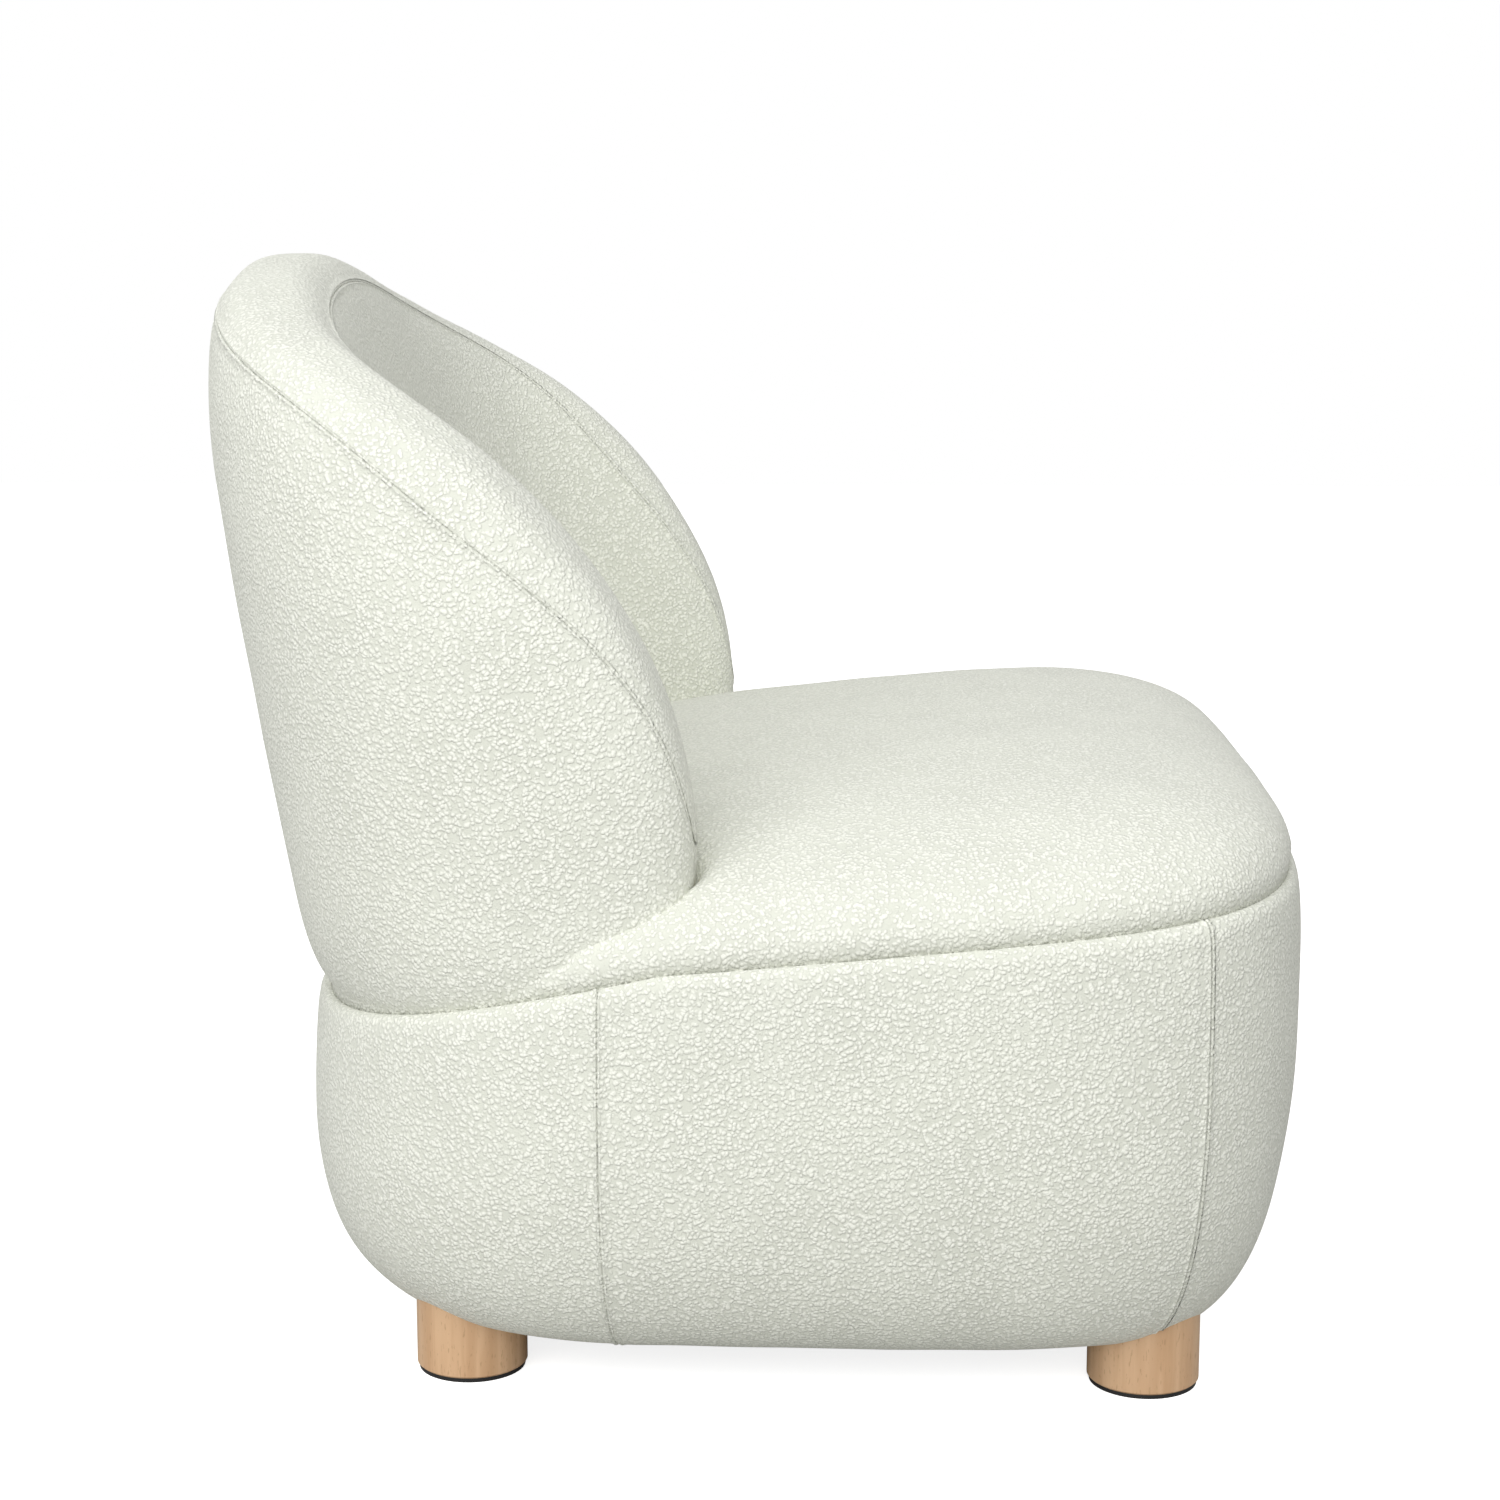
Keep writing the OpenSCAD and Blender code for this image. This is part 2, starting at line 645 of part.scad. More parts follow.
// Section of the inner padding: the inner half of the back, cut off flat behind the board
function inner_section(s) =
    let (cut = core_inner - board_t - 2 * board_gap, t = back_thick(s, -pad), n = 14, a = back_angle(s, -pad))
    let (q0 = 180 - acos(pow(-cut / t, back_upper_square / 2)), q1 = 180 + acos(pow(-cut / t, back_lower_square / 2)))
    let (face = [for (i = [0:n]) back_point(s, q0 + (q1 - q0) * i / n, -pad)])
    concat(face, [for (i = [n - 1:-1:1]) let (z = face[i][2]) plan_point(a, back_shift(a, z) + cut, z)]);
module back_inner_foam() {
    color(foam) sweep([for (s = stations(78)) inner_section(s)]);
}
module back_outer_foam() {
    color(foam) difference() {
        sweep([
            for (s = stations(89.4))
            [for (q = section_angles(15)) back_point(s, q, -pad, core_inner + board_gap)]
        ]);
        all_posts(gap);
        rib_solid(lower_rib_z, lower_reach, rib_out, gap);
        rib_solid(upper_rib_z, upper_reach, rib_out, gap);
    }
}

// ---- Covers ----

module seat_cover() {
    color(fabric) difference() {
        dome_shell();
        back_form(wadding);
    }
}
module front_cover() { base_panel(left_front, 360 - front_seam_angle); }
module left_cover() { base_panel(left_seam, left_front); }
module right_cover() { base_panel(-front_seam_angle, rear_seam_angle); }
module rear_cover() { base_panel(rear_seam_angle, left_seam); }

module back_outer_cover() {
    color(fabric) difference() {
        back_panel(-90, 0, [0, 1]);
        all_posts(gap);
    }
}
module back_inner_cover() {
    color(fabric) difference() {
        back_panel(180, 270, [-1, 0]);
        all_posts(gap);
    }
}
module back_edge_cover() { color(fabric) back_panel(0, 180, [1, -1]); }

// ---- Underside ----

dust_inset = hem_inset + 4;
dust_t = 1;
staple_w = 10;
staple_t = 0.7;
dust_z = hem_z - cover_t - gap - dust_t;
module dust_cover() {
    color(black) difference() {
        translate([0, 0, dust_z]) linear_extrude(dust_t)
            polygon(outline(dust_inset));
        leg_holes();
    }
}
// The staples are drawn by their crowns, and none falls on a leg
staple_inset = dust_inset + 10;
module dust_cover_staples() {
    color(steel) for (i = [0:2:len(ring) - 1])
        let (p = plan_point(ring[i], -staple_inset, dust_z - staple_t), n = plan_normal(ring[i]))
        if (min([for (l = leg_places) norm([p[0] - l[0], p[1] - l[1]])]) > leg_d / 2 + staple_w)
            translate(p) rotate([0, 0, atan2(n[1], n[0])])
                translate([-0.6, -staple_w / 2, 0]) cube([1.2, staple_w, staple_t]);
}

// ---- Legs ----

leg_bore_depth = 26;
nail_d = 3;
nail_l = 16;
nail_head_d = 9;

module leg(i) {
    edge = 1.2;
    r = leg_d / 2;
    bore_r = bolt_d / 2 + gap;
    nail_r = nail_d / 2 + gap;
    nail_top = nail_l + 1;
    color(beech) translate([leg_places[i][0], leg_places[i][1], 0]) rotate_extrude($fn = 96)
        polygon([
            [nail_r, glide_t], [r - edge, glide_t], [r, glide_t + edge], [r, plate_z], [bore_r, plate_z],
            [bore_r, plate_z - leg_bore_depth], [0, plate_z - leg_bore_depth], [0, nail_top], [nail_r, nail_top],
        ]);
}
module leg_bolts() {
    color(steel) for (p = leg_places)
        translate([p[0], p[1], plate_z - leg_bore_depth + gap]) cylinder(d = bolt_d, h = leg_bore_depth + ply_t + 4);
}
module leg_nuts() {
    color(steel) for (p = leg_places) translate([p[0], p[1], 0]) difference() {
        union() {
            translate([0, 0, post_bottom_z - 12]) cylinder(d = nut_d, h = 12);
            translate([0, 0, post_bottom_z]) cylinder(d = 2 * nut_d, h = 1.6);
        }
        translate([0, 0, post_bottom_z - 13]) cylinder(d = bolt_d + gap, h = 16);
    }
}
module glide(i) {
    color(black) translate([leg_places[i][0], leg_places[i][1], 0]) difference() {
        cylinder(d = leg_d - 3, h = glide_t);
        translate([0, 0, -1]) cylinder(d = nail_d + 2 * gap, h = glide_t + 2);
        translate([0, 0, -1]) cylinder(d = nail_head_d + 2 * gap, h = 2 + gap);
    }
}
module glide_nails() {
    color(steel) for (p = leg_places) translate([p[0], p[1], 0.3]) {
        cylinder(d = nail_head_d, h = 0.7);
        cylinder(d = nail_d, h = nail_l);
    }
}

base_plate();
seat_plate();
front_rail();
rear_rail();
left_rail();
right_rail();
post(0);  // post_left
post(1);  // post_rear_left
post(2);  // post_center
post(3);  // post_rear_right
post(4);  // post_right
back_lower_rib();
back_upper_rib();
back_board();
frame_screws();
post_bolts();
post_nuts();
seat_spring(0);  // seat_spring_1
seat_spring(1);  // seat_spring_2
seat_spring(2);  // seat_spring_3
seat_spring(3);  // seat_spring_4
seat_spring(4);  // seat_spring_5
spring_clips();
spring_cloth();
seat_foam();
front_foam();
left_foam();
right_foam();
rear_foam();
back_inner_foam();
back_outer_foam();
seat_cover();
front_cover();
left_cover();
right_cover();
rear_cover();
back_inner_cover();
back_outer_cover();
back_edge_cover();
dust_cover();
dust_cover_staples();
leg(0);  // leg_front_left
leg(1);  // leg_front_right
leg(2);  // leg_rear_left
leg(3);  // leg_rear_right
leg_bolts();
leg_nuts();
glide(0);  // glide_front_left
glide(1);  // glide_front_right
glide(2);  // glide_rear_left
glide(3);  // glide_rear_right
glide_nails();
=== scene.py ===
import json
import math

import bmesh
import bpy
import numpy as np
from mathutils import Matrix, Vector


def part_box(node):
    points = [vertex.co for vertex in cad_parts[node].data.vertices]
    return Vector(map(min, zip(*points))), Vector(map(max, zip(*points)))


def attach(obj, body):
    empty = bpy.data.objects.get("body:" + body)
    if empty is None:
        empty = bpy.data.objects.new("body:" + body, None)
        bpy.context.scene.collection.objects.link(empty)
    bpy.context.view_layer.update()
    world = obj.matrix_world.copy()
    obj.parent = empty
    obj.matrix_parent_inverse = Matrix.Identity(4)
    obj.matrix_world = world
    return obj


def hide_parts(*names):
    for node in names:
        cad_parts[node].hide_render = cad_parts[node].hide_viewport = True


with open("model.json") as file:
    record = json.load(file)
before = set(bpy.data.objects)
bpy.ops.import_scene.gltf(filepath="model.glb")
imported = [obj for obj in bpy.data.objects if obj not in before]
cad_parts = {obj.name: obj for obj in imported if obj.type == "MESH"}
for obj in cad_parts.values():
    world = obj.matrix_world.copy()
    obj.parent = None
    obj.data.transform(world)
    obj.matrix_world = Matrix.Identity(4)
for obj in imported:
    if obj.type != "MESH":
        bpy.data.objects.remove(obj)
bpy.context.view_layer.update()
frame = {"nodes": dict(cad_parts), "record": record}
nodes = frame["nodes"]
scene = bpy.context.scene
print("frame loaded:", len(nodes), "nodes")

# the plan and the heights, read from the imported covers

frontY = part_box("front_cover")[0].y
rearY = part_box("rear_cover")[1].y
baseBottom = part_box("rear_cover")[0].z
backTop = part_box("back_edge_cover")[1].z
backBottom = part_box("back_outer_cover")[0].z
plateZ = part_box("base_plate")[0].z

plan = {
    "halfWidth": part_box("right_cover")[1].x,
    "frontShare": 345 / 707,  # part of the depth in front of the widest line
    "rakeY": 0.033,  # where the raked seam has its set height
    "fallY": 0.06,  # how far behind that it falls faster
    "frontSquare": 4.4,  # 2 would be an ellipse
    "rearSquare": 3.15,
}
plan["frontDepth"] = (rearY - frontY) * plan["frontShare"]
plan["rearDepth"] = (rearY - frontY) - plan["frontDepth"]
midY = frontY + plan["frontDepth"]

base = {
    "seamZ": 0.308,
    "seamRake": 0.093,  # fall of the seat seam toward the rear
    "shoulderDrop": 0.15,  # extra fall under the back
    "bellyDrop": 0.075,
    "edgeInset": 0.005,
    "grooveInset": 0.003,  # more inset where the back stands on the shoulder
    "grooveFall": 0.02,  # how far the seam has fallen there
    "bottomRound": 0.094,
    "bottomSquare": 2.6,
    "crownRise": 0.096,
    "domeSquare": 2.6,
    "rearSeam": 17.7,  # degrees up from +X
    "frontSeam": 33.7,  # degrees down from +X
    "hemStep": 0.004,
    "hemWidth": 0.012,
    "hemGap": 0.0005,
    "hemRows": 6,
    "rowsTop": 44,
    "rowsBottom": 64,
    "topSquare": 2.5,
}

seat = {
    "columns": 420,
    "rows": 150,
    "pressDepth": 0.0035,  # how far the back presses the seat down beside it
    "pressReach": 0.02,
    "tuckDepth": 0.02,  # further fall inside the back, out of sight
    "tuckStart": 0.008,
    "tuckReach": 0.02,
}

back = {
    "wingZ": 0.379,
    "wingReach": math.radians(79.5),
    "halfThick": 0.064,
    "lean": math.tan(math.radians(10)),
    "upperSquare": 3.3,
    "lowerSquare": 5.0,
    "lowerRun": 3.1,  # how late the lower edge and the thickness close toward the wing's front
    "thickRun": 3.5,
    "seamLow": 3.0,  # degrees of the section at the wing's front
    "seamWing": 41.0,  # degrees more along the wing
    "seamRear": 22.0,  # degrees more at the rear
    "seamTurn": 0.7,  # station where the seam comes down from the rear
    "fadeThick": 0.02,  # where the back thins below this, it no longer presses the seat
    "fadeDepth": 0.03,
}

cloth = {
    "thick": 0.0025,
    "seamDepth": 0.0024,  # how far a panel's edge turns in
    "seamWidth": 0.0075,
    "pucker": 0.00045,
    "puckerReach": 0.016,
    "wander": 0.0011,  # slow unevenness of hand-fitted padding
}


# sign kept, size raised to a power
def signedPower(v, e):
    return np.sign(v) * np.abs(v) ** e


# the plan at angle a: radius of a superellipse, and its outward direction
def planShape(a):
    c, s = np.cos(a), np.sin(a)
    n = np.where(s >= 0, plan["rearSquare"], plan["frontSquare"])
    depth = np.where(s >= 0, plan["rearDepth"], plan["frontDepth"])
    r = ((np.abs(c) / plan["halfWidth"]) ** n + (np.abs(s) / depth) ** n) ** (-1 / n)
    gx = signedPower(r * c / plan["halfWidth"], n - 1) / plan["halfWidth"]
    gy = signedPower(r * s / depth, n - 1) / depth
    size = np.hypot(gx, gy)
    return r, gx / size, gy / size


# point of the plan at angle a, moved outward by out, at height z
def planPoint(a, out, z):
    r, nx, ny = planShape(a)
    return np.stack([r * np.cos(a) + nx * out, midY + r * np.sin(a) + ny * out, z + 0 * a], -1)


# plan angle at the superellipse's own parameter t, and back: points crowd where the plan bends
def planAngle(t):
    s, c = np.sin(t), np.cos(t)
    n = 2 / np.where(s >= 0, plan["rearSquare"], plan["frontSquare"])
    depth = np.where(s >= 0, plan["rearDepth"], plan["frontDepth"])
    a = np.arctan2(signedPower(s, n) * depth, signedPower(c, n) * plan["halfWidth"])
    return a + 2 * np.pi * np.round((t - a) / (2 * np.pi))


def planParameter(a):
    s, c = math.sin(a), math.cos(a)
    n = (plan["rearSquare"] if s >= 0 else plan["frontSquare"]) / 2
    depth = plan["rearDepth"] if s >= 0 else plan["frontDepth"]
    t = math.atan2(math.copysign(abs(s / depth) ** n, s), math.copysign(abs(c / plan["halfWidth"]) ** n, c))
    return t + 2 * math.pi * round((a - t) / (2 * math.pi))


# height of the seat seam at angle a: a rake, and a further fall under the back
def shoulderZ(a):
    y = planShape(a)[0] * np.sin(a) - plan["rakeY"]
    return base["seamZ"] - base["seamRake"] * y - base["shoulderDrop"] * np.maximum(0, y - plan["fallY"])


# how far the seam lies inside the plan, more in the groove under the back
def edgeInset(top):
    return base["edgeInset"] + np.where(top < base["seamZ"] - base["grooveFall"], base["grooveInset"], 0)


# steps from 0 to 1 that crowd toward both ends, by a share k
def eased(count, k=0.9):
    p = np.linspace(0, 1, count)
    return p - k * np.sin(2 * np.pi * p) / (2 * np.pi)


# lengths along the first or second direction of a grid, from its start and from its end
def arcLengths(grid, axis):
    step = np.linalg.norm(np.diff(grid, axis=axis), axis=-1)
    run = np.cumsum(step, axis=axis)
    run = np.concatenate([np.zeros_like(np.take(run, [0], axis)), run], axis)
    return run, np.take(run, [-1], axis) - run


# outward direction at each grid point, from the cross product of the two grid directions
def gridNormals(grid, wrap=False):
    if wrap:
        closed = np.concatenate([grid[-1:], grid, grid[:1]], 0)
        du = closed[2:] - closed[:-2]
    else:
        du = np.gradient(grid, axis=0)
    n = np.cross(du, np.gradient(grid, axis=1))
    size = np.linalg.norm(n, axis=-1, keepdims=True)
    return n / np.maximum(size, 1e-12)


# slow unevenness: a sum of long waves through space
def slowWaves(p):
    x, y, z = p[..., 0], p[..., 1], p[..., 2]
    return (
        np.sin(31 * x + 17 * y + 5 * z + 0.4)
        + np.sin(23 * y - 29 * z + 1.9)
        + 0.7 * np.sin(53 * z + 37 * x - 2.2)
        + 0.5 * np.sin(71 * y - 47 * x + 0.8)
    ) / 3.2


# short uneven gathers along a seam of running length s
def gathers(s):
    return (np.sin(s * 370 + 0.7) + 0.8 * np.sin(s * 233 + 2.1) + 0.6 * np.sin(s * 541 + 4.4)) / 2.4


# turns a panel's edges in by a quarter round, 1 - sqrt(1 - (1 - x)^2) with x the distance from the edge over
# its width, along the surface normal or along level, the shared direction of the seat seam;
# gathers beside the seams and slow waves add to it and die out at the seams
def puffed(grid, sides, wrap=False, sign=1, level=None):
    normals = gridNormals(grid, wrap) * sign
    swell = cloth["wander"] * slowWaves(grid)
    turned = 0 * grid
    still = 1.0
    for axis, end in sides:
        near = arcLengths(grid, axis)[end]
        along = arcLengths(grid, 1 - axis)[0]
        x = np.clip(near / cloth["seamWidth"], 0, 1)
        depth = cloth["seamDepth"] * (1 - np.sqrt(np.maximum(0, 1 - (1 - x) ** 2)))
        way = level if level is not None and (axis, end) == (1, 0) else normals
        turned = turned - way * depth[..., None]
        swell = swell + cloth["pucker"] * gathers(along) * np.exp(-near / cloth["puckerReach"])
        still = still * x
    return grid + turned + normals * (swell * still)[..., None]


# outward level direction of the plan at angle a, for every column of a grid
def levelOut(a, columns):
    nx, ny = planShape(a)[1:]
    way = np.stack([nx, ny, 0 * nx], -1)
    return np.broadcast_to(way, (way.shape[0], columns, 3))


# quads of a grid of rows by columns; flip turns them round
def gridFaces(rows, columns, wrap=False, flip=False):
    i = np.arange(rows if wrap else rows - 1)[:, None]
    j = np.arange(columns - 1)[None, :]
    k = (i + 1) % rows
    quad = np.stack([i * columns + j, k * columns + j, k * columns + j + 1, i * columns + j + 1], -1)
    quad = quad.reshape(-1, 4)
    return quad[:, ::-1] if flip else quad


# a mesh object from points and equal-sided faces
def meshPiece(name, points, faces):
    mesh = bpy.data.meshes.new(name)
    sides = faces.shape[1]
    mesh.vertices.add(len(points))
    mesh.vertices.foreach_set("co", np.asarray(points, np.float32).ravel())
    mesh.loops.add(faces.size)
    mesh.loops.foreach_set("vertex_index", np.asarray(faces, np.int32).ravel())
    mesh.polygons.add(len(faces))
    mesh.polygons.foreach_set("loop_start", np.arange(0, faces.size, sides, dtype=np.int32))
    mesh.update(calc_edges=True)
    mesh.validate()
    piece = bpy.data.objects.new(name, mesh)
    scene.collection.objects.link(piece)
    return piece


# closes the poles of a mesh, smooths it, and gives it the fabric's thickness inward
def finishCover(piece, thick=None):
    shape = bmesh.new()
    shape.from_mesh(piece.data)
    bmesh.ops.remove_doubles(shape, verts=shape.verts, dist=2e-5)
    shape.to_mesh(piece.data)
    shape.free()
    piece.data.polygons.foreach_set("use_smooth", [True] * len(piece.data.polygons))
    if thick:
        wall = piece.modifiers.new("thickness", "SOLIDIFY")
        wall.thickness = thick
        wall.offset = -1
    return piece


# profile of the side: a quarter superellipse from the seam to the belly, with height sin^e and inset
# 1 - cos^e, another from the belly to the bottom, then up to the hem under the plate
def sideGrid(a0, a1, columns):
    t = planParameter(a0) + (planParameter(a1) - planParameter(a0)) * eased(columns)
    a = planAngle(t)[:, None]
    top = shoulderZ(a)
    belly = top - base["bellyDrop"]
    phi = (np.pi / 2 * (1 - eased(base["rowsTop"], 0.6)))[None, :]
    e = 2 / base["topSquare"]
    zTop = belly + (top - belly) * np.sin(phi) ** e
    insetTop = edgeInset(top) * (1 - np.cos(phi) ** e)
    theta = np.linspace(0, np.pi / 2, base["rowsBottom"])[None, 1:]
    e = 2 / base["bottomSquare"]
    zBottom = belly - (belly - baseBottom) * np.sin(theta) ** e
    insetBottom = base["bottomRound"] * (1 - np.cos(theta) ** e) + 0 * a
    rise = np.linspace(0, 1, base["hemRows"])[None, 1:]
    hemZ = plateZ - base["hemGap"]
    zHem = baseBottom + (hemZ - baseBottom) * rise + 0 * a
    insetHem = base["bottomRound"] + base["hemStep"] * rise + 0 * a
    z = np.concatenate([zTop, zBottom, zHem, zHem[:, -1:]], 1)
    inset = np.concatenate([insetTop, insetBottom, insetHem, insetHem[:, -1:] + base["hemWidth"]], 1)
    return planPoint(a + 0 * z, -inset, z), a


# one cover of the side between two plan angles
def sidePanel(name, a0, a1, columns, stands):
    grid, a = sideGrid(math.radians(a0), math.radians(a1), columns)
    grid = puffed(grid, [(0, 0), (0, 1), (1, 0)], level=levelOut(a, grid.shape[1]))
    piece = finishCover(meshPiece(name, grid.reshape(-1, 3), gridFaces(*grid.shape[:2])), cloth["thick"])
    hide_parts(stands)
    return piece


# depth of a point inside the back: thick * (1 - h^e)^(1/e) less its distance from the middle surface
def insideBack(p):
    x, y, z = p[..., 0], p[..., 1] - midY, p[..., 2]
    a = np.arctan2(y, x)
    a = np.where(a < -np.pi / 2, a + 2 * np.pi, a)
    r, nx, ny = planShape(a)
    out = (np.hypot(x, y) - r) * (nx * np.cos(a) + ny * np.sin(a))
    s = np.clip((a - np.pi / 2) / back["wingReach"], -1, 1)
    above = z >= back["wingZ"]
    risen = (z - back["wingZ"]) / np.maximum(backUpper(s), 1e-6)
    fallen = (back["wingZ"] - z) / np.maximum(backLower(s), 1e-6)
    height = np.where(above, risen, fallen)
    e = np.where(above, back["upperSquare"], back["lowerSquare"])
    thick = backThick(s) * np.maximum(0, 1 - np.clip(height, 0, 1) ** e) ** (1 / e)
    runsOut = back["fadeDepth"] * (1 - np.clip(thick / back["fadeThick"], 0, 1))
    return thick - np.abs(out - backShift(a, z)) - runsOut


# seat: a superellipse dome between the seam and a crown, sunk where the back presses into it
def seatPanel():
    columns, rows = seat["columns"], seat["rows"]
    t = np.linspace(0, 2 * np.pi, columns, endpoint=False)
    a = planAngle(t)[:, None]
    r = np.clip(1 - eased(rows, 0.55), 0, 1)[None, :]
    top = shoulderZ(a)
    edge = planPoint(a, -edgeInset(top), top)
    x = edge[..., 0] * r
    y = midY + (edge[..., 1] - midY) * r
    crown = base["seamZ"] + base["crownRise"] - base["seamRake"] * (y - midY)
    s = (1 - r ** base["domeSquare"]) ** (1 / base["domeSquare"])
    grid = np.stack([x, y, top * (1 - s) + crown * s], -1)
    grid = puffed(grid, [(1, 0)], wrap=True, level=levelOut(a, rows))
    depth = insideBack(grid)
    pressed = np.clip((depth + seat["pressReach"]) / seat["pressReach"], 0, 1) ** 2
    tucked = np.clip((depth - seat["tuckStart"]) / seat["tuckReach"], 0, 1)
    grid[..., 2] -= seat["pressDepth"] * pressed + seat["tuckDepth"] * tucked
    piece = meshPiece("seatPanel", grid.reshape(-1, 3), gridFaces(columns, rows, wrap=True))
    finishCover(piece, cloth["thick"])
    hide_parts("seat_cover")
    return piece


# height above the wing line at station s: a share sqrt(1 - s^2) of its greatest
def backUpper(s):
    return (backTop - back["wingZ"]) * np.sqrt(np.maximum(0, 1 - s * s))


# height below the wing line at station s: a share (1 - s^e)^(1/e) of its greatest
def backLower(s):
    e = back["lowerRun"]
    return (back["wingZ"] - backBottom) * np.maximum(0, 1 - np.abs(s) ** e) ** (1 / e)


# half thickness at station s, by the same rule with its own power
def backThick(s):
    e = back["thickRun"]
    return back["halfThick"] * np.maximum(0, 1 - np.abs(s) ** e) ** (1 / e)


# how far the back's middle surface stands outside the plan: less by half the thickness, more with height
# by the lean, times the part of the plan's direction that points to the rear
def backShift(a, z):
    return -back["halfThick"] + back["lean"] * (z - backBottom) * np.maximum(0, planShape(a)[2])


# section angle of the seam beside the edge strip: near the crest at the rear, lower along the wings, and it
# runs out at their fronts: low + (wing + rear / (1 + (s / turn)^12)) * (1 - s^40)^(1/3)
def seamAngle(s):
    wing = back["seamWing"] + back["seamRear"] / (1 + (s / back["seamTurn"]) ** 12)
    return back["seamLow"] + wing * np.maximum(0, 1 - s**40) ** (1 / 3)


# point of the back at station s and section angle q: a superellipse carried round the plan, leaning back
def backPoint(s, q):
    e = 2 / np.where(np.sin(q) >= 0, back["upperSquare"], back["lowerSquare"])
    height = np.where(np.sin(q) >= 0, backUpper(s), backLower(s))
    z = back["wingZ"] + height * signedPower(np.sin(q), e)
    a = np.pi / 2 + s * back["wingReach"]
    return planPoint(a + 0 * z, backShift(a, z) + backThick(s) * signedPower(np.cos(q), e), z)


# one cover of the back: stations s = sin(u) crowd at the wings' fronts, and the section angle runs between
# two seams across it
def backPanel(name, q0, q1, side, seams, columns, rows, stands):
    s = np.sin(np.linspace(-np.pi / 2, np.pi / 2, columns))[:, None]
    low = np.radians(q0 + side[0] * seamAngle(s))
    high = np.radians(q1 + side[1] * seamAngle(s))
    grid = backPoint(s, low + (high - low) * eased(rows)[None, :])
    grid = puffed(grid, [(1, end) for end in seams], sign=-1)
    faces = gridFaces(columns, rows, flip=True)
    piece = finishCover(meshPiece(name, grid.reshape(-1, 3), faces), cloth["thick"])
    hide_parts(stands)
    return piece


covers = [
    sidePanel("frontPanel", 180 + base["frontSeam"], 360 - base["frontSeam"], 200, "front_cover"),
    sidePanel("leftPanel", 180 - base["rearSeam"], 180 + base["frontSeam"], 110, "left_cover"),
    sidePanel("rightPanel", -base["frontSeam"], base["rearSeam"], 110, "right_cover"),
    sidePanel("rearPanel", base["rearSeam"], 180 - base["rearSeam"], 260, "rear_cover"),
    seatPanel(),
    backPanel("backOuterPanel", -90, 0, (0, 1), [1], 320, 96, "back_outer_cover"),
    backPanel("backEdgeStrip", 0, 180, (1, -1), [0, 1], 320, 72, "back_edge_cover"),
    backPanel("backInnerPanel", 180, 270, (-1, 0), [0], 320, 96, "back_inner_cover"),
]
for piece in covers:
    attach(piece, "root")
print("covers:", len(covers), "pieces,", sum(len(c.data.polygons) for c in covers), "faces")

foamSettings = {"voxel": 0.008, "shrink": 0.003, "smooth": 3}


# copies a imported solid, merges it, remeshes it evenly, then relaxes it and draws it in a little
def foamBlock(node):
    piece = bpy.data.objects.new(node.replace("_foam", "FoamBlock"), nodes[node].data.copy())
    piece.data.materials.clear()
    scene.collection.objects.link(piece)
    finishCover(piece)
    remesh = piece.modifiers.new("even", "REMESH")
    remesh.mode = "VOXEL"
    remesh.voxel_size = foamSettings["voxel"]
    relax = piece.modifiers.new("relax", "SMOOTH")
    relax.iterations = foamSettings["smooth"]
    bpy.context.view_layer.update()
    solid = bpy.data.meshes.new_from_object(piece.evaluated_get(bpy.context.evaluated_depsgraph_get()))
    piece.modifiers.clear()
    piece.data = solid
    points = np.empty(len(solid.vertices) * 3, np.float32)
    outward = np.empty(len(solid.vertices) * 3, np.float32)
    solid.vertices.foreach_get("co", points)
    solid.vertex_normals.foreach_get("vector", outward)
    solid.vertices.foreach_set("co", points - foamSettings["shrink"] * outward)
    solid.polygons.foreach_set("use_smooth", [True] * len(solid.polygons))
    solid.update()
    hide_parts(node)
    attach(piece, "root")
    return piece


foams = [foamBlock(name) for name in sorted(nodes) if name.endswith("_foam")]
print("foam blocks:", len(foams))


# an empty group with named inputs and outputs
def newGroup(name, inputs, outputs):
    group = bpy.data.node_groups.new(name, "ShaderNodeTree")
    for label, kind, value in inputs:
        socket = group.interface.new_socket(label, in_out="INPUT", socket_type=kind)
        if value is not None:
            socket.default_value = value
    for label, kind in outputs:
        group.interface.new_socket(label, in_out="OUTPUT", socket_type=kind)
    return group, group.nodes.new("NodeGroupInput"), group.nodes.new("NodeGroupOutput")


# adds a node, sets what is given and links its inputs
def addNode(tree, kind, settings=None, inputs=None):
    node = tree.nodes.new(kind)
    for key, value in (settings or {}).items():
        setattr(node, key, value)
    for key, value in (inputs or {}).items():
        if isinstance(value, bpy.types.NodeSocket):
            tree.links.new(value, node.inputs[key])
        else:
            node.inputs[key].default_value = value
    return node


# outputs of a noise texture
def noiseNode(tree, vector, scale, detail, **more):
    inputs = {"Vector": vector, "Scale": scale, "Detail": detail, **more}
    return addNode(tree, "ShaderNodeTexNoise", {}, inputs).outputs


# one step of arithmetic
def mathNode(tree, operation, a, b=0.0, clamp=False):
    node = addNode(tree, "ShaderNodeMath", {"operation": operation, "use_clamp": clamp}, {0: a, 1: b})
    return node.outputs[0]


# a soft step between two values
def mapRange(tree, value, low, high, outLow=0.0, outHigh=1.0):
    inputs = {"Value": value, "From Min": low, "From Max": high, "To Min": outLow, "To Max": outHigh}
    return addNode(tree, "ShaderNodeMapRange", {"interpolation_type": "SMOOTHSTEP"}, inputs).outputs[0]


# a blend of two colours by a factor
def mixColor(tree, factor, a, b):
    return addNode(tree, "ShaderNodeMix", {"data_type": "RGBA"}, {0: factor, 6: a, 7: b}).outputs[2]


